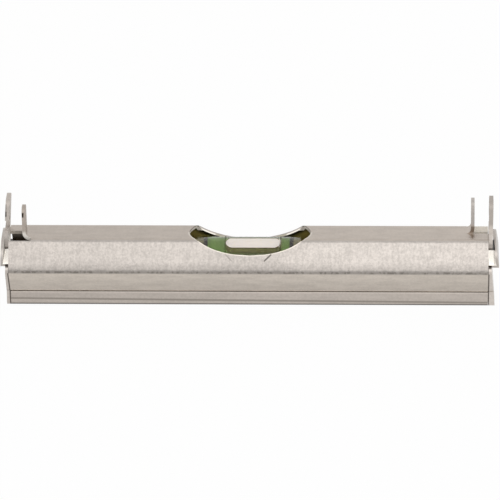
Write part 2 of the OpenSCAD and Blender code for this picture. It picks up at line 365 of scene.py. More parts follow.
def window_oval(tree, x, y, z):
    out = calc(tree, "ABSOLUTE", y)
    drop = calc(tree, "SUBTRACT", top_z, z)
    on_side = below(tree, side_depth(tree, y, z), drop)
    across = calc(tree, "MULTIPLY_ADD", out, 0.5, hex_side / 4)
    slope = calc(tree, "MULTIPLY_ADD", drop, COS30, across)
    girth = calc(tree, "MULTIPLY_ADD", on_side, calc(tree, "SUBTRACT", slope, out), out)
    front = below(tree, y, 0.0)
    reach = calc(tree, "MULTIPLY_ADD", front, WINDOW_FRONT - WINDOW_BACK, WINDOW_BACK)
    power = calc(tree, "MULTIPLY_ADD", front, WINDOW_FRONT_POWER - WINDOW_BACK_POWER, WINDOW_BACK_POWER)
    around = calc(tree, "POWER", calc(tree, "DIVIDE", girth, reach), power)
    along = calc(tree, "POWER", calc(tree, "DIVIDE", away(tree, x, WINDOW_X), WINDOW_HALF), power)
    return calc(tree, "ADD", along, around)


oval = window_oval(tree, x_mm, y_mm, z_mm)
print(f"window {2 * WINDOW_HALF:.1f} mm long, reaching {WINDOW_FRONT:.1f} mm round the front")

# %% [markdown]
# The punch left a burr along the window's front lip, only a hair wide, which gets a painted
# highlight, and two small creases that run down from it, which get painted shade. They are
# too fine to model, so they are painted. A crease's shade is a stroke, a short straight mark
# between two points, masked by how far a place lies along the run and beside it.

# %% Burr highlight and crease shade
BURR_HIGHLIGHT = (0.62, 0.57, 0.51, 1.0)
CREASE_SHADE = (0.10, 0.09, 0.08, 1.0)
CREASE_SHADES = (
    ((3.7, axis_z + 2.67), (2.55, axis_z + 1.72), 0.07, 0.9),
    ((-3.65, axis_z + 2.67), (-2.5, axis_z + 1.69), 0.04, 0.45))


def stroke(tree, across, up, start, end, half_width):
    run = Vector(end) - Vector(start)
    middle = (Vector(end) + Vector(start)) / 2
    ahead = run.normalized()
    off_across = calc(tree, "SUBTRACT", across, middle.x)
    off_up = calc(tree, "SUBTRACT", up, middle.y)
    along = calc(tree, "MULTIPLY_ADD", off_up, ahead.y, times(tree, off_across, ahead.x))
    aside = calc(tree, "MULTIPLY_ADD", off_up, ahead.x, times(tree, off_across, -ahead.y))
    in_length = band(tree, along, 0.0, run.length / 2 - 0.1, 0.2)
    return times(tree, in_length, band(tree, aside, 0.0, half_width, 0.08))


at_front = below(tree, y_mm, 0.0)
# painted highlight along the burr of the window's front lip
burr_highlight = times(tree, fade_out(tree, oval, 1.03, 1.07), at_front)
color = blend_colors(tree, burr_highlight, color, BURR_HIGHLIGHT)
# painted shade in the two creases under the window
for start, end, half_width, strength in CREASE_SHADES:
    crease_shade = times(tree, stroke(tree, x_mm, z_mm, start, end, half_width), at_front, strength)
    color = blend_colors(tree, crease_shade, color, CREASE_SHADE)
print("creases under the window:", len(CREASE_SHADES))

# %% [markdown]
# The left tongue gets a painted dark reflection near its top, which is one more stroke. The
# right tongue gets a painted cooler, brighter light. The two ends often differ, so a helper
# gives one number at the left and another at the right.

# %% Tongues
TONGUE_DARK_REFLECTION = (0.04, 0.03, 0.02, 1.0)
TONGUE_REFLECTION_LOW, TONGUE_REFLECTION_HIGH = (-35.8, top_z + 3.55), (-35.74, top_z + 4.35)
COOL_TONGUE_LIGHT = (1.02, 1.07, 1.13, 1.0)


def left_to_right(tree, x, at_left, at_right):
    return smooth_range(tree, x, -1.0, 1.0, at_left, at_right)


# painted dark reflection near the top of the left tongue
tongue_reflection = times(tree, stroke(tree, x_mm, z_mm, TONGUE_REFLECTION_LOW, TONGUE_REFLECTION_HIGH, 0.13), below(tree, y_mm, -1.9))
color = blend_colors(tree, tongue_reflection, color, TONGUE_DARK_REFLECTION)
# painted cooler, brighter light on the right tongue
tongue_rise = fade_in(tree, z_mm, top_z + 1.2, top_z + 1.8)
right_tongue_light = times(tree, tongue_rise, left_to_right(tree, x_mm, 0.0, 1.0))
color = blend_colors(tree, right_tongue_light, color, COOL_TONGUE_LIGHT, "MULTIPLY")
print("with the tongues:", len(tree.nodes), "nodes")

# %% [markdown]
# Inside, the sheet is dull, and its light and shade are painted: painted shade makes it dark
# at the left, it is olive behind the vial with painted shade close to the window, and painted
# light makes it pale at the right end, where light comes in. The inner faces could be picked
# by hand, but they would be lost when the model changes. A measure finds them instead: how
# deep a place lies under the hexagon's outer faces.

# %% Tube inside
INSIDE_SHADE = (0.22, 0.17, 0.12, 1.0)
INSIDE_OLIVE = (0.40, 0.32, 0.10, 1.0)
INSIDE_LIT = (0.80, 0.76, 0.70, 1.0)


def face_depth(tree, y, z):
    flat_depth = calc(tree, "SUBTRACT", hex_flat, away(tree, z, axis_z))
    return calc(tree, "MINIMUM", flat_depth, side_depth(tree, y, z))


depth_in = face_depth(tree, y_mm, z_mm)
inside = fade_in(tree, depth_in, 0.49, 0.53)
right_end = fade_in(tree, x_mm, tube_high.x - 3.5, tube_high.x - 2.5)
behind_vial = fade_out(tree, from_middle, 14.0, 18.0)
# painted shade on the olive inside, darker close to the window
olive = shaded(tree, INSIDE_OLIVE, smooth_range(tree, oval, 1.06, 1.36, 0.05, 1.4))
inner_color = blend_colors(tree, behind_vial, INSIDE_SHADE, olive)
inner_color = blend_colors(tree, right_end, inner_color, INSIDE_LIT)
color = blend_colors(tree, inside, color, inner_color)
print("with the inside:", len(tree.nodes), "nodes")

# %% [markdown]
# The cut edges of the window and of the tube's right end show the bare steel, with a yellower,
# painted shaded tone over the vial. The window's back lip gets a painted highlight on each
# side of the vial, where it was sheared.

# %% Window edges
CUT_STEEL = (0.72, 0.67, 0.60, 1.0)
CUT_SHADE_OVER_VIAL = (0.55, 0.51, 0.39, 1.0)
CUT_HIGHLIGHT = (0.92, 0.88, 0.81, 1.0)

from_window = away(tree, x_mm, WINDOW_X)
at_window = fade_out(tree, from_window, WINDOW_HALF + 0.4, WINDOW_HALF + 0.6)
in_sheet = times(tree, fade_in(tree, depth_in, 0.15, 0.2), calc(tree, "SUBTRACT", 1.0, inside))
cut_edge = times(tree, in_sheet, most(tree, right_end, at_window))
back_lip = times(tree, fade_in(tree, depth_in, 0.2, 0.35), fade_in(tree, y_mm, 2.2, 2.6))
# painted highlight on the sheared back lip
sheared_highlight = times(tree, cut_edge, back_lip, band(tree, from_window, 6.8, 0.9, 0.4))
over_vial = fade_out(tree, from_window, 5.3, 6.0)
# painted shade with a yellower tone on the cut edges over the vial
edge_color = blend_colors(tree, over_vial, CUT_STEEL, CUT_SHADE_OVER_VIAL)
edge_color = blend_colors(tree, sheared_highlight, edge_color, CUT_HIGHLIGHT)
color = blend_colors(tree, cut_edge, color, edge_color)
print("with the window's edges:", len(tree.nodes), "nodes")

# %% [markdown]
# Each tongue leaves an opening in the top face, and the cut faces beside it are found by
# their y. The far side of the opening is pale cut steel, dimmed by painted shade at the left
# and with a painted highlight at the right. The outer side of the tongue's bend gets a painted
# highlight, and the foot of the right tongue gets a brown painted shade.

# %% Edges at the tongues
CUT_DIM = (0.60, 0.55, 0.49, 1.0)
BEND_HIGHLIGHT = (0.85, 0.81, 0.75, 1.0)
TONGUE_FOOT_SHADE = (0.24, 0.19, 0.15, 1.0)
EDGE_HALF, EDGE_SOFT = 0.02, 0.01
TUBE_FOLD_R = 1.0
TONGUE_W = 2.4
TONGUE_SLIT = 0.65
HOLE_LEN = 3.55
flat_half = hex_side / 2 - TUBE_FOLD_R * math.tan(math.radians(30))
left_far_y = TONGUE_W - flat_half
right_far_y = flat_half + TONGUE_SLIT


def cut_face(tree, y, place_y):
    return band(tree, calc(tree, "SUBTRACT", y, place_y), 0.0, EDGE_HALF, EDGE_SOFT)


at_right = above(tree, x_mm, 0.0)
near_end = above(tree, from_middle, tube_high.x - HOLE_LEN)
far_y = calc(tree, "MULTIPLY_ADD", at_right, right_far_y - left_far_y, left_far_y)
hole_edge = times(tree, cut_face(tree, y_mm, far_y), near_end)
# painted shade on the left far side and a painted highlight on the right one
hole_color = blend_colors(tree, at_right, CUT_DIM, CUT_HIGHLIGHT)
color = blend_colors(tree, hole_edge, color, hole_color)
bend_low = fade_out(tree, z_mm, top_z + 0.5, top_z + 1.3)
bend_edge = times(tree, cut_face(tree, y_mm, -flat_half), near_end, bend_low)
# painted highlight on the outer side of the tongue's bend
color = blend_colors(tree, bend_edge, color, BEND_HIGHLIGHT)
foot_height = band(tree, z_mm, top_z + 0.7, 0.3, 0.5)
foot_edge = times(tree, cut_face(tree, y_mm, flat_half - TONGUE_W), near_end, foot_height, at_right)
# painted brown shade at the foot of the right tongue
color = blend_colors(tree, foot_edge, color, TONGUE_FOOT_SHADE)
print(f"openings' far sides at y {left_far_y:.2f} and {right_far_y:.2f} mm")

# %% [markdown]
# Every sheet piece gets its gloss in the same way: the grain goes into its roughness and, as
# a bump, into its surface. The tongues and hooks above the tube are duller, so they are made
# rougher.

# %% Sheet gloss
def bump(tree, height, strength, distance_mm):
    item = add_node(tree, "ShaderNodeBump",
                    [("Height", height), ("Strength", strength), ("Distance", distance_mm * MM)])
    return item.outputs[0]


def finish_sheet(tree, shader, color, rough, height, metal=None):
    tree.links.new(color, shader.inputs["Base Color"])
    tree.links.new(rough, shader.inputs["Roughness"])
    tree.links.new(bump(tree, height, 0.3, 0.03), shader.inputs["Normal"])
    if metal is None:
        shader.inputs["Metallic"].default_value = 1.0
    else:
        tree.links.new(metal, shader.inputs["Metallic"])


def rougher_above(tree, rough, z):
    return calc(tree, "ADD", rough, fade_in(tree, z, top_z + 0.3, top_z + 0.8, 0.25))


# %% [markdown]
# The outside is bright metal, and the inside and the cut edges are dull. Light comes to the
# inside of both ends, the far side of the right opening and the sheared lip only after many
# reflections. More bounces would make every picture slower, so a faint glow stands in for
# them.

# %% Tube gloss and light
TUBE_GLOW = (0.95, 0.88, 0.78, 1.0)


def lit_from_within(tree, shader, color, strength):
    if isinstance(color, bpy.types.NodeSocket):
        tree.links.new(color, shader.inputs["Emission Color"])
    else:
        shader.inputs["Emission Color"].default_value = color
    tree.links.new(strength, shader.inputs["Emission Strength"])


def dress(node_name, material):
    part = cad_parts[node_name]
    part.data.materials.clear()
    part.data.materials.append(material)
    print(f"{node_name}: {material.name}, {len(material.node_tree.nodes)} nodes")


dull = most(tree, inside, cut_edge, hole_edge, bend_edge)
metal = smooth_range(tree, dull, 0.0, 1.0, 1.0, 0.1)
rough = rougher_above(tree, grain_range(tree, grain, 0.30, 0.42), z_mm)
finish_sheet(tree, shader, color, rough, grain, metal)
left_end = fade_out(tree, x_mm, tube_low.x + 4.0, tube_low.x + 5.0)
left_light = times(tree, left_end, fade_in(tree, z_mm, axis_z + 1.4, axis_z + 2.5, 0.03))
inside_light = times(tree, inside, calc(tree, "MULTIPLY_ADD", right_end, 0.2, left_light))
cut_light = times(tree, most(tree, sheared_highlight, times(tree, hole_edge, at_right)), 0.3)
lit_from_within(tree, shader, TUBE_GLOW, most(tree, inside_light, cut_light))
dress("body_tube", tube_plate)

# %% [markdown]
# ## The base channel
# The channel comes from smoother sheet than the tube, drawn along its length. A painted shade
# line runs along its lower fold, a little higher at the left than at the right. It gets
# painted light that grows towards the right, a painted highlight along its upper edge, and a
# painted contact shadow where it stands on the bench.

# %% Base channel
BASE_SHEET = (0.497, 0.446, 0.402, 1.0)
BASE_GRAIN = (0.12, 1.2, 1.2)
CONTACT_SHADOW = (0.07, 0.06, 0.055, 1.0)
FOLD_SHADE_Z, FOLD_SHADE_SLOPE = 1.2, -0.0075

base_plate, tree, shader = new_material("base_plate")
place = place_mm(tree)
x_mm, y_mm, z_mm = split(tree, place)
grain = sheet_grain(tree, place, BASE_GRAIN)
color = grained_color(tree, grain, BASE_SHEET, 0.08)
# painted light: the channel grows lighter towards the right
color = shaded(tree, color, smooth_range(tree, x_mm, tube_low.x, tube_high.x, 0.91, 0.97))
# painted highlight along the channel's upper edge
color = shaded(tree, color, smooth_range(tree, z_mm, base_top - 0.4, base_top - 0.1, 1.0, 1.2))
# painted shade line along the channel's lower fold
line_z = calc(tree, "MULTIPLY_ADD", x_mm, FOLD_SHADE_SLOPE, FOLD_SHADE_Z)
base_fold_shade = band(tree, calc(tree, "SUBTRACT", z_mm, line_z), 0.0, 0.06, 0.2)
color = blend_colors(tree, times(tree, base_fold_shade, 0.75), color, FOLD_SHADE_TONE)
# painted contact shadow where the channel stands on the bench
color = blend_colors(tree, fade_out(tree, z_mm, 0.45, 0.7, 0.9), color, CONTACT_SHADOW)
finish_sheet(tree, shader, color, grain_range(tree, grain, 0.30, 0.38), grain)
dress("base_channel", base_plate)

# %% [markdown]
# ## The end plates and hooks
# They look alike, so they share one finish. Painted light makes the skirts a little paler
# than the shields, and also the left hook and the part of the right hook that passes the
# tube. Most masks read how far a place lies outward from the tube's end.

# %% End plate faces
END_SHEET = (0.46, 0.42, 0.385, 1.0)
END_GRAIN = (0.5, 0.9, 0.9)
HOOK_OUT = 0.72

end_plate, tree, shader = new_material("end_plate")
place = place_mm(tree)
x_mm, y_mm, z_mm = split(tree, place)
at_left = below(tree, x_mm, 0.0)
at_right = above(tree, x_mm, 0.0)
outward = calc(tree, "SUBTRACT", calc(tree, "ABSOLUTE", x_mm), tube_high.x)
on_hook = below(tree, outward, HOOK_OUT)
grain = sheet_grain(tree, place, END_GRAIN)
color = grained_color(tree, grain, END_SHEET, 0.08)
skirt = fade_out(tree, z_mm, axis_z + 0.5, axis_z + 0.65)
# painted light: the skirts, the left hook and the right hook's lower part are made paler
skirt_light = times(tree, skirt, left_to_right(tree, x_mm, 0.08, 0.24))
hook_rise = fade_in(tree, z_mm, top_z - 0.5, top_z + 0.5)
left_hook_light = times(tree, hook_rise, left_to_right(tree, x_mm, 0.16, 0.0))
right_hook_light = times(
    tree, fade_in(tree, z_mm, top_z - 1.2, top_z - 0.8), fade_out(tree, z_mm, top_z + 1.9, top_z + 2.6),
    on_hook, left_to_right(tree, x_mm, 0.0, 0.38))
paler = calc(tree, "ADD", skirt_light, calc(tree, "ADD", left_hook_light, right_hook_light))
color = shaded(tree, color, calc(tree, "ADD", 1.0, paler))
print("end plate faces:", len(tree.nodes), "nodes")

# %% [markdown]
# Painted shade darkens the gap where each skirt meets the tube, and the left hook's front
# edge gets a painted dark reflection in two places. These are strokes again, kept to the
# front by their y.

# %% Gap shade and edge reflections
GAP_SHADE = (0.06, 0.045, 0.035, 1.0)
EDGE_DARK_REFLECTION = (0.05, 0.04, 0.03, 1.0)
EDGE_REFLECTIONS = (
    ((-38.44, axis_z + 8.25), (-38.40, axis_z + 9.2), 0.07, 0.95),
    ((-38.40, axis_z + 9.1), (-38.34, axis_z + 10.4), 0.04, 0.5))

# painted shade in the gap where each skirt meets the tube
joint = times(tree, fade_out(tree, outward, 0.14, 0.24, 0.85), fade_out(tree, z_mm, axis_z - 0.2, axis_z))
color = blend_colors(tree, joint, color, GAP_SHADE)
# painted dark reflections on the left hook's front edge
hook_front = below(tree, y_mm, -1.7)
for start, end, half_width, strength in EDGE_REFLECTIONS:
    edge_reflection = times(tree, stroke(tree, x_mm, z_mm, start, end, half_width), hook_front, strength)
    color = blend_colors(tree, edge_reflection, color, EDGE_DARK_REFLECTION)
print("scrapes on the left hook:", len(EDGE_REFLECTIONS))

# %% [markdown]
# The pocket between each shield and the tube gets painted light and shade. The front of its
# ledge gets a painted highlight, and its back gets painted shade, for the dark behind the
# hook. The shields lean, so the pocket's outer wall is worked out from the height.

# %% Pocket ledges
POCKET_SHADE = (0.03, 0.025, 0.02, 1.0)
LEDGE_HIGHLIGHT = (0.93, 0.90, 0.85, 1.0)
SHIELD_OUT = 0.78
LEFT_LEAN, RIGHT_LEAN = 0.035, 0.1495
ledge_z = axis_z + 1.15

shield_lean = calc(tree, "MULTIPLY_ADD", at_right, RIGHT_LEAN - LEFT_LEAN, LEFT_LEAN)
shield_face = calc(tree, "MULTIPLY_ADD", calc(tree, "SUBTRACT", top_z, z_mm), shield_lean, SHIELD_OUT)
in_pocket = below(tree, outward, shield_face)
ledge = times(tree, in_pocket, band(tree, z_mm, ledge_z, 0.04, 0.02))
ledge_front = times(tree, ledge, below(tree, y_mm, 0.8))
# painted shade on the back of each ledge, and a painted highlight on its front
color = blend_colors(tree, ledge, color, POCKET_SHADE)
color = blend_colors(tree, ledge_front, color, LEDGE_HIGHLIGHT)
print(f"ledges at z {ledge_z:.2f} mm")

# %% [markdown]
# At the right the shield leans far enough to leave a slit beside the hook, which gets
# painted shade. At the left the slit and the hook's inner face get painted light, for the
# light from the tube's opening. The foot of each hook and the edge of the step get painted
# shade.

# %% Slits, hooks and steps
HOOK_INSIDE_LIGHT = (0.75, 0.71, 0.65, 1.0)
SLIT_LIT_TONE = (0.50, 0.46, 0.42, 1.0)
STEP_SHADE = (0.05, 0.04, 0.035, 1.0)

before_shield = below(tree, outward, calc(tree, "ADD", shield_face, 0.1))
beside_hook = times(tree, above(tree, outward, HOOK_OUT + 0.005), before_shield)
# painted shade in the slit beside the right hook
right_slit = times(tree, beside_hook, at_right, band(tree, z_mm, axis_z + 3.85, 0.5, 0.1))
color = blend_colors(tree, right_slit, color, POCKET_SHADE)
# painted light on the left hook's inner face
inner_face = times(tree, below(tree, outward, 0.06), at_left, band(tree, z_mm, top_z - 0.9, 1.1, 0.1))
color = blend_colors(tree, inner_face, color, HOOK_INSIDE_LIGHT)
# painted light in the left slit
left_slit = times(
    tree, in_pocket, above(tree, outward, HOOK_OUT - 0.015), at_left, band(tree, z_mm, top_z - 1.2, 1.0, 0.2))
color = blend_colors(tree, left_slit, color, SLIT_LIT_TONE)
# painted shade at the foot of each hook
hook_foot_shade = times(tree, on_hook, band(tree, z_mm, top_z - 2.0, 0.2, 0.2), 0.7)
color = blend_colors(tree, hook_foot_shade, color, GAP_SHADE)
# painted shade along the edge of the step
step_front = times(tree, below(tree, y_mm, -4.3), band(tree, z_mm, axis_z + 0.9, 0.1, 0.1))
step_edge = times(tree, step_front, fade_out(tree, outward, 0.5, 0.65, 0.9))
color = blend_colors(tree, step_edge, color, STEP_SHADE)
print("with the pockets:", len(tree.nodes), "nodes")

# %% [markdown]
# The ledges, the hook's inner face and the left slit are dull, and they glow a little, for
# the same reason as the inside of the tube. All the rest is metal.

# %% End plate gloss and light
END_GLOW = (1.0, 0.95, 0.87, 1.0)
END_PIECES = ("left_end_plate", "right_end_plate", "left_string_hook", "right_string_hook")

metal = calc(tree, "SUBTRACT", 1.0, most(tree, ledge, inner_face, left_slit))
rough = rougher_above(tree, grain_range(tree, grain, 0.30, 0.40), z_mm)
finish_sheet(tree, shader, color, rough, grain, metal)
towards_shield = smooth_range(tree, outward, 0.84, 0.92, 1.0, 0.45)
ledge_light = times(tree, ledge_front, left_to_right(tree, x_mm, 0.62, 0.75), towards_shield)
inner_light = times(tree, inner_face, smooth_range(tree, z_mm, top_z - 1.9, top_z, 0.5, 0.2))
slit_light = times(tree, left_slit, 0.15)
lit_from_within(tree, shader, END_GLOW, most(tree, ledge_light, inner_light, slit_light))
for piece_name in END_PIECES:
    dress(piece_name, end_plate)

# %% [markdown]
# ## Modelling by selection
# The clear pieces are modelled in edit mode, where an operator acts on all that is selected.
# By hand, one would click on faces and edges. Here they are chosen in code, by their place or
# normal, after everything else is deselected.

# %% Selection helpers
def only(obj):
    bpy.ops.object.select_all(action="DESELECT")
    obj.select_set(True)
    bpy.context.view_layer.objects.active = obj


def select_nothing(obj, kind):
    only(obj)
    bpy.ops.object.mode_set(mode="EDIT")
    bpy.ops.mesh.select_mode(type=kind)
    bpy.ops.mesh.select_all(action="DESELECT")
    bpy.ops.object.mode_set(mode="OBJECT")


def edit_faces(obj, test):
    select_nothing(obj, "FACE")
    for face in obj.data.polygons:
        face.select = test(face)
    bpy.ops.object.mode_set(mode="EDIT")


def edit_edges(obj, test):
    select_nothing(obj, "EDGE")
    points = obj.data.vertices
    for edge in obj.data.edges:
        edge.select = test(points[edge.vertices[0]].co, points[edge.vertices[1]].co)
    bpy.ops.object.mode_set(mode="EDIT")


def end_edit():
    bpy.ops.object.mode_set(mode="OBJECT")


def smooth_shading(obj, angle_deg):
    only(obj)
    bpy.ops.object.shade_smooth_by_angle(angle=math.radians(angle_deg))


# %% [markdown]
# ## The clear barrel
# The barrel is a thick clear tube. It could be spun from an outline, but a cylinder is
# quicker: its end faces are inset, the inner discs are deleted, and a bridge joins the two
# rims into a bore. The outer rims are rounded a little, because no real edge is sharp. The
# filling and the bubble lie on the same axis, so they use the same helpers.

# %% Helpers on the vial's axis
def rod(name, length, radius, sides):
    bpy.ops.object.select_all(action="DESELECT")
    bpy.ops.mesh.primitive_cylinder_add(
        vertices=sides, radius=radius * MM, depth=length * MM,
        location=(0, 0, axis_z * MM), rotation=(0, math.pi / 2, 0))
    obj = bpy.context.object
    obj.name = name
    bpy.ops.object.transform_apply(location=True, rotation=True, scale=True)
    return obj


def off_axis(point):
    return math.hypot(point.y, point.z - axis_z * MM) / MM


def report_piece(obj):
    size = [round(v / MM, 2) for v in obj.dimensions]
    print(f"{obj.name}: {size} mm, {len(obj.data.polygons)} faces")


# %% Barrel
ROUND_SIDES = 96
RIM_BEVEL = 0.25
PLUG_FIT = 0.03
bore_r = (plug_high.z - plug_low.z) / 2 + PLUG_FIT
near_bore = bore_r + 0.1


def on_outer_rim(a, b):
    at_end = abs(a.x - b.x) < 1e-6 and abs(a.x) > 0.49 * barrel_len * MM
    return at_end and off_axis(a) > near_bore and off_axis(b) > near_bore


barrel = rod("barrel_glass", barrel_len, barrel_r, ROUND_SIDES)
edit_faces(barrel, lambda face: abs(face.normal.x) > 0.9)
bpy.ops.mesh.inset(thickness=(barrel_r - bore_r) * MM, use_individual=True)
bpy.ops.mesh.delete(type="ONLY_FACE")
end_edit()
edit_edges(barrel, lambda a, b: off_axis(a) < near_bore and off_axis(b) < near_bore)
bpy.ops.mesh.bridge_edge_loops(number_cuts=8)
end_edit()
edit_edges(barrel, on_outer_rim)
bpy.ops.mesh.bevel(offset=RIM_BEVEL * MM, segments=3)
bpy.ops.mesh.select_all(action="SELECT")
bpy.ops.mesh.normals_make_consistent(inside=False)
end_edit()
smooth_shading(barrel, 35)
report_piece(barrel)

# %% [markdown]
# The filling bends light almost as much as the barrel does, so in the real vial light turns
# only at the outer face, and the bore can't be seen. Blender bends light at every face, so
# the bore gets a clear finish of its own that lets light straight through.

# %% Clear finishes
GLASS_IOR, STRAIGHT_IOR = 1.45, 1.0
GLASS_TINT = (0.97, 0.98, 0.95, 1.0)
WHITE = (1.0, 1.0, 1.0, 1.0)


def clear_finish(name, color, ior, haze_scale, haze_detail, most_haze):
    material, tree, shader = new_material(name)
    haze = noise(tree, place_mm(tree), haze_scale, haze_detail)
    tree.links.new(noise_range(tree, haze, 0.0, most_haze), shader.inputs["Roughness"])
    shader.inputs["Base Color"].default_value = color
    shader.inputs["Transmission Weight"].default_value = 1.0
    shader.inputs["IOR"].default_value = ior
    return material


barrel.data.materials.append(clear_finish("clear_glass", GLASS_TINT, GLASS_IOR, 0.8, 3.0, 0.06))
barrel.data.materials.append(clear_finish("bore_clear", WHITE, STRAIGHT_IOR, 0.8, 3.0, 0.02))
for face in barrel.data.polygons:
    in_bore = all(off_axis(barrel.data.vertices[v].co) < bore_r + 0.05 for v in face.vertices)
    face.material_index = 1 if in_bore else 0
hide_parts("vial_barrel")
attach(barrel, "level")
print("bore faces:", sum(face.material_index for face in barrel.data.polygons))

# %% [markdown]
# ## The filling
# The filling is green spirit that fills the bore between the plugs. It is a closed rod with
# crowned sides, because the bore is a little wider in its middle, which is what sends the
# bubble there. The long edges are subdivided, and the rings in the middle are scaled up.

# %% Filling
FLUID_FIT = 0.03
FLUID_CROWN = 0.02
fluid_len = fluid_high.x - fluid_low.x
fluid_end_r = bore_r - FLUID_FIT

fluid = rod("green_filling", fluid_len, fluid_end_r, ROUND_SIDES)
edit_edges(fluid, lambda a, b: abs(a.x - b.x) > fluid_len * MM / 2)
bpy.ops.mesh.subdivide(number_cuts=7)
end_edit()
edit_edges(fluid, lambda a, b: max(abs(a.x), abs(b.x)) < fluid_len * MM / 3)
grow = 1 + FLUID_CROWN / fluid_end_r
bpy.ops.transform.resize(value=(1, grow, grow), center_override=(0, 0, axis_z * MM))
end_edit()
smooth_shading(fluid, 35)
report_piece(fluid)

# %% [markdown]
# A green surface would look like painted plastic. The colour of the spirit is in its depth
# instead: a volume takes up light, so what has crossed more of it comes out greener.

# %% Filling colour
SPIRIT_TINT = (0.93, 1.0, 0.90, 1.0)
SPIRIT_DEPTH = (0.50, 0.80, 0.30, 1.0)

green_spirit = clear_finish("green_spirit", SPIRIT_TINT, STRAIGHT_IOR, 0.4, 2.0, 0.03)
tree = green_spirit.node_tree
depth_color = add_node(tree, "ShaderNodeVolumeAbsorption", [("Color", SPIRIT_DEPTH), ("Density", 170.0)])
tree.links.new(depth_color.outputs[0], tree.nodes["Material Output"].inputs["Volume"])
fluid.data.materials.append(green_spirit)
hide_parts("vial_fluid")
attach(fluid, "level")
print("filling:", green_spirit.name)

# %% [markdown]
# ## The bubble
# Air that floats under the top of the bore is a long drop: flat against the bore above, with
# round ends and a round underside. A stretched sphere would be too pointed, so the drop is a
# box with its corners rounded off twice, cut by the round of the bore.

# %% Bubble
BUBBLE_FIT = 0.03
BUBBLE_W = 2.4
BUBBLE_Y = 0.08
BUBBLE_FLOOR = 0.95
BUBBLE_DEPTH = 2.0
BUBBLE_BELLY = 0.8
bubble_mid = (bubble_low + bubble_high) / 2
bubble_len = bubble_high.x - bubble_low.x
bubble_top_r = fluid_end_r - BUBBLE_FIT
bubble_place = Vector((bubble_mid.x, BUBBLE_Y, axis_z + BUBBLE_FLOOR + BUBBLE_DEPTH / 2))

bpy.ops.object.select_all(action="DESELECT")
bpy.ops.mesh.primitive_cube_add(size=1, location=bubble_place * MM)
bubble = bpy.context.object
bubble.name = "bubble_drop"
bubble.scale = (bubble_len * MM, BUBBLE_W * MM, BUBBLE_DEPTH * MM)
bpy.ops.object.transform_apply(location=True, rotation=True, scale=True)
edit_edges(bubble, lambda a, b: abs(a.z - b.z) > 0.5 * MM)
bpy.ops.mesh.bevel(offset=0.48 * BUBBLE_W * MM, segments=14)
end_edit()
low_z = (axis_z + BUBBLE_FLOOR + 0.01) * MM
edit_edges(bubble, lambda a, b: a.z < low_z and b.z < low_z)
bpy.ops.mesh.bevel(offset=BUBBLE_BELLY * MM, segments=8)
end_edit()
bore_round = rod("bore_round", 2 * barrel_len, bubble_top_r, 160)
only(bubble)
trim = bubble.modifiers.new("trim", "BOOLEAN")
trim.operation = "INTERSECT"
trim.object = bore_round
bpy.ops.object.modifier_apply(modifier="trim")
bpy.data.objects.remove(bore_round, do_unlink=True)
smooth_shading(bubble, 40)
report_piece(bubble)

# %% [markdown]
# Light that meets the bubble's top turns back to the eye, so the top gets a painted
# reflection: a white cap with round ends and greenish corners. The finish tells top, rim and
# wall apart by their distance from the vial's axis, and draws the cap's ends as quarter
# circles. A small painted highlight closes the right end.

# %% Bubble cap
CAP_END = 0.8
CAP_TILT = math.radians(27)
edge_rise = math.sqrt(bubble_top_r ** 2 - (BUBBLE_W / 2) ** 2)
cap_mid = edge_rise * math.cos(CAP_TILT)
cap_half = BUBBLE_W / 2 * math.sin(CAP_TILT)


def squares(tree, first, second):
    return calc(tree, "ADD", times(tree, first, first), times(tree, second, second))


air_drop, tree, shader = new_material("air_drop")
place = place_mm(tree)
x_mm, y_mm, z_mm = split(tree, place)
rise = calc(tree, "SUBTRACT", z_mm, axis_z)
radius = calc(tree, "SQRT", squares(tree, y_mm, rise))
on_top = fade_in(tree, radius, bubble_top_r - 0.05, bubble_top_r - 0.02)
cap_up = calc(tree, "MULTIPLY_ADD", rise, math.cos(CAP_TILT), times(tree, y_mm, math.sin(CAP_TILT)))
cap_up = calc(tree, "DIVIDE", most(tree, calc(tree, "SUBTRACT", cap_up, cap_mid), 0.0), cap_half)
cap_out = calc(tree, "SUBTRACT", away(tree, x_mm, bubble_mid.x), bubble_len / 2 - CAP_END)
cap_out = calc(tree, "DIVIDE", most(tree, cap_out, 0.0), CAP_END)
cap = squares(tree, cap_up, cap_out)
off_cap = times(tree, on_top, fade_in(tree, cap, 1.1, 1.3))
white_cap = times(tree, on_top, fade_out(tree, cap, 0.9, 1.02))
# painted highlight at the bubble's right end
right_tip_highlight = times(
    tree, fade_in(tree, x_mm, bubble_high.x - 0.45, bubble_high.x - 0.25),
    fade_in(tree, radius, bubble_top_r - 0.4, bubble_top_r - 0.25))
white_cap = most(tree, white_cap, right_tip_highlight)
print(f"cap ends: {CAP_END:.1f} mm long")

# %% [markdown]
# The bubble's wall sends the eye down into the dark of the tube, and its rim is a thin dark
# line. A clear bubble would need many bends of light to show this, so it is painted, and it
# glows a little, because it stands for light that has come through the filling.

# %% Bubble finish
WALL_DARK, WALL_PALE = (0.30, 0.27, 0.10, 1.0), (0.36, 0.32, 0.13, 1.0)
CAP_DARK, CAP_PALE = (0.97, 0.84, 0.86, 1.0), (1.0, 0.87, 0.89, 1.0)
RIM_DARK = (0.07, 0.075, 0.03, 1.0)
CORNER_GREEN = (0.36, 0.52, 0.22, 1.0)
WALL_GLOW, CAP_GLOW = (1.0, 0.80, 0.25, 1.0), (1.0, 0.80, 0.86, 1.0)


def cloudy_finish(tree, shader, color, cloud, rough_low, rough_high):
    tree.links.new(color, shader.inputs["Base Color"])
    tree.links.new(noise_range(tree, cloud, rough_low, rough_high), shader.inputs["Roughness"])


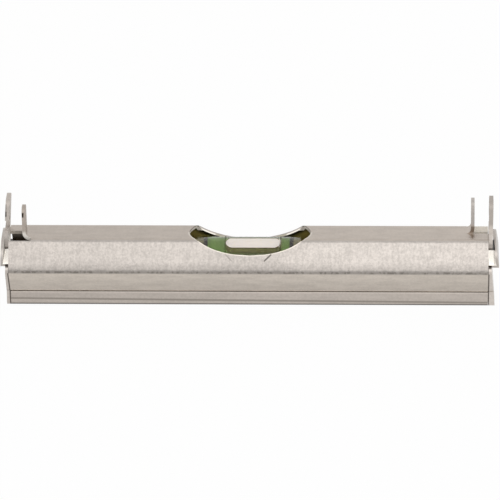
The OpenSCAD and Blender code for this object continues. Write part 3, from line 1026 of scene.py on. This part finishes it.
at_rim = fade_in(tree, radius, bubble_top_r - 0.26, bubble_top_r - 0.14)
cloud = noise(tree, place, 0.5, 2.0)
wall = blend_colors(tree, cloud, WALL_DARK, WALL_PALE)
around = blend_colors(tree, at_rim, wall, RIM_DARK)
around = blend_colors(tree, off_cap, around, CORNER_GREEN)
white = blend_colors(tree, cloud, CAP_DARK, CAP_PALE)
cloudy_finish(tree, shader, blend_colors(tree, white_cap, around, white), cloud, 0.25, 0.4)
within = blend_colors(tree, white_cap, WALL_GLOW, CAP_GLOW)
lit_from_within(tree, shader, within, smooth_range(tree, white_cap, 0.0, 1.0, 0.05, 0.24))
bubble.data.materials.append(air_drop)
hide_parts("bubble")
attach(bubble, "bubble")
print("bubble:", len(tree.nodes), "nodes")

# %% [markdown]
# ## Plugs, lines and putty
# These small pieces keep their CAD shapes. The plugs are olive cement with a dark band where
# they meet the filling. Cement is never even, so one noise mottles its colour, its gloss and
# its surface.

# %% Plugs
PLUG_DARK, PLUG_PALE = (0.24, 0.21, 0.10, 1.0), (0.34, 0.30, 0.16, 1.0)
PLUG_BAND = (0.035, 0.028, 0.018, 1.0)

plug_cement, tree, shader = new_material("plug_cement")
place = place_mm(tree)
mottle = noise(tree, place, 2.0, 4.0, 0.6)
color = blend_colors(tree, mottle, PLUG_DARK, PLUG_PALE)
from_middle = calc(tree, "ABSOLUTE", split(tree, place)[0])
inner_end = fade_out(tree, from_middle, fluid_high.x + 0.5, fluid_high.x + 0.8)
color = blend_colors(tree, inner_end, color, PLUG_BAND)
cloudy_finish(tree, shader, color, mottle, 0.55, 0.8)
tree.links.new(bump(tree, mottle, 0.4, 0.1), shader.inputs["Normal"])
dress("left_vial_plug", plug_cement)
dress("right_vial_plug", plug_cement)

# %% [markdown]
# The two lines are dark paint on the barrel, so thin that most of the light comes through.
# Alpha gives that without another clear layer.

# %% Gauge lines
LINE_DARK, LINE_PALE = (0.05, 0.055, 0.02, 1.0), (0.10, 0.11, 0.05, 1.0)

line_paint, tree, shader = new_material("line_paint")
mottle = noise(tree, place_mm(tree), 3.0, 3.0)
color = blend_colors(tree, mottle, LINE_DARK, LINE_PALE)
cloudy_finish(tree, shader, color, mottle, 0.4, 0.6)
shader.inputs["Alpha"].default_value = 0.25
dress("gauge_lines", line_paint)

# %% [markdown]
# The putty is a pale, crumbly bed under the vial. It glows a little green, a painted light
# for the light that the filling lets through, and its glow turns brown under the bubble, as
# painted shade.

# %% Putty
PUTTY_DARK, PUTTY_PALE = (0.62, 0.58, 0.42, 1.0), (0.80, 0.76, 0.60, 1.0)
GREEN_GLOW, GLOW_IN_BUBBLE_SHADE = (0.75, 1.0, 0.32, 1.0), (0.55, 0.42, 0.12, 1.0)

bed_putty, tree, shader = new_material("bed_putty")
place = place_mm(tree)
mottle = noise(tree, place, 1.2, 5.0, 0.65)
color = blend_colors(tree, mottle, PUTTY_DARK, PUTTY_PALE)
cloudy_finish(tree, shader, color, mottle, 0.7, 0.95)
tree.links.new(bump(tree, mottle, 0.6, 0.2), shader.inputs["Normal"])
# painted shade under the bubble turns the putty's glow brown
under_bubble = band(tree, split(tree, place)[0], bubble_mid.x, bubble_len / 2 - 0.4, 0.5)
within = blend_colors(tree, under_bubble, GREEN_GLOW, GLOW_IN_BUBBLE_SHADE)
lit_from_within(tree, shader, within, noise_range(tree, mottle, 0.10, 0.14))
dress("vial_bed", bed_putty)

# %% [markdown]
# ## Bench and light
# The level stands on a plain white bench. More light would bleach the level along with it,
# so the bench is made white to the camera, to reflections and through glass only. A small
# part of its own shading is kept, so that the level has a shadow and doesn't float.

# %% Bench
BENCH_GREY = (0.86, 0.86, 0.86, 1.0)
SHADOW_KEPT = 0.03


def seen_rays(tree):
    rays = add_node(tree, "ShaderNodeLightPath").outputs
    return most(tree, rays["Is Camera Ray"], rays["Is Glossy Ray"], rays["Is Transmission Ray"])


def mix_shaders(tree, factor, first, second):
    item = add_node(tree, "ShaderNodeMixShader", [(0, factor), (1, first.outputs[0]), (2, second.outputs[0])])
    return item.outputs[0]


bpy.ops.object.select_all(action="DESELECT")
bpy.ops.mesh.primitive_plane_add(size=6, location=(0, 0, 0))
bench = bpy.context.object
bench.name = "bench"
bench_white, tree, shader = new_material("bench_white")
shader.inputs["Base Color"].default_value = BENCH_GREY
shader.inputs["Roughness"].default_value = 0.9
shader.inputs["Specular IOR Level"].default_value = 0.0
glow = add_node(tree, "ShaderNodeEmission", [("Color", WHITE), ("Strength", 1.0)])
seen_white = times(tree, seen_rays(tree), 1.0 - SHADOW_KEPT)
bench_mix = mix_shaders(tree, seen_white, shader, glow)
tree.links.new(bench_mix, tree.nodes["Material Output"].inputs["Surface"])
bench.data.materials.append(bench_white)
print("bench:", bench_white.name)

# %% [markdown]
# The room is a soft, even light from all sides. As with the bench, what is seen of it is
# white, and what lights the level is a little weaker.

# %% World
ROOM_LIGHT = (1.0, 0.99, 0.98, 1.0)
ROOM_STRENGTH = 0.75

world = bpy.data.worlds.new("soft_room")
bpy.context.scene.world = world
world.use_nodes = True
tree = world.node_tree
fill = tree.nodes["Background"]
fill.inputs["Color"].default_value = ROOM_LIGHT
fill.inputs["Strength"].default_value = ROOM_STRENGTH
backdrop = add_node(tree, "ShaderNodeBackground", [("Color", WHITE), ("Strength", 1.0)])
world_mix = mix_shaders(tree, seen_rays(tree), fill, backdrop)
tree.links.new(world_mix, tree.nodes["World Output"].inputs["Surface"])
print("world strength:", ROOM_STRENGTH)

# %% [markdown]
# One wide lamp above the front lights the upper front face. A small lamp would leave a hard
# streak on the satin sheet. The lamp's power follows from its brightness and its area, so a
# lamp of another size looks as bright in the metal.

# %% Lamp
lamp_height, lamp_turn = math.radians(38), math.radians(16)
lamp_far = 0.8
lamp_width, lamp_depth = 0.9, 0.35
lamp_radiance = 1.1

lamp_data = bpy.data.lights.new("front_softbox", "AREA")
lamp_data.shape = "RECTANGLE"
lamp_data.size = lamp_width
lamp_data.size_y = lamp_depth
lamp_data.energy = lamp_radiance * math.pi * lamp_width * lamp_depth
lamp = bpy.data.objects.new("front_softbox", lamp_data)
bpy.context.scene.collection.objects.link(lamp)
spot = lamp_far * Vector((
    math.cos(lamp_height) * math.sin(lamp_turn),
    -math.cos(lamp_height) * math.cos(lamp_turn),
    math.sin(lamp_height)))
lamp.matrix_world = Matrix.Translation(spot) @ spot.to_track_quat("Z", "Y").to_matrix().to_4x4()
print(f"{lamp.name}: {lamp_data.energy:.2f} W")
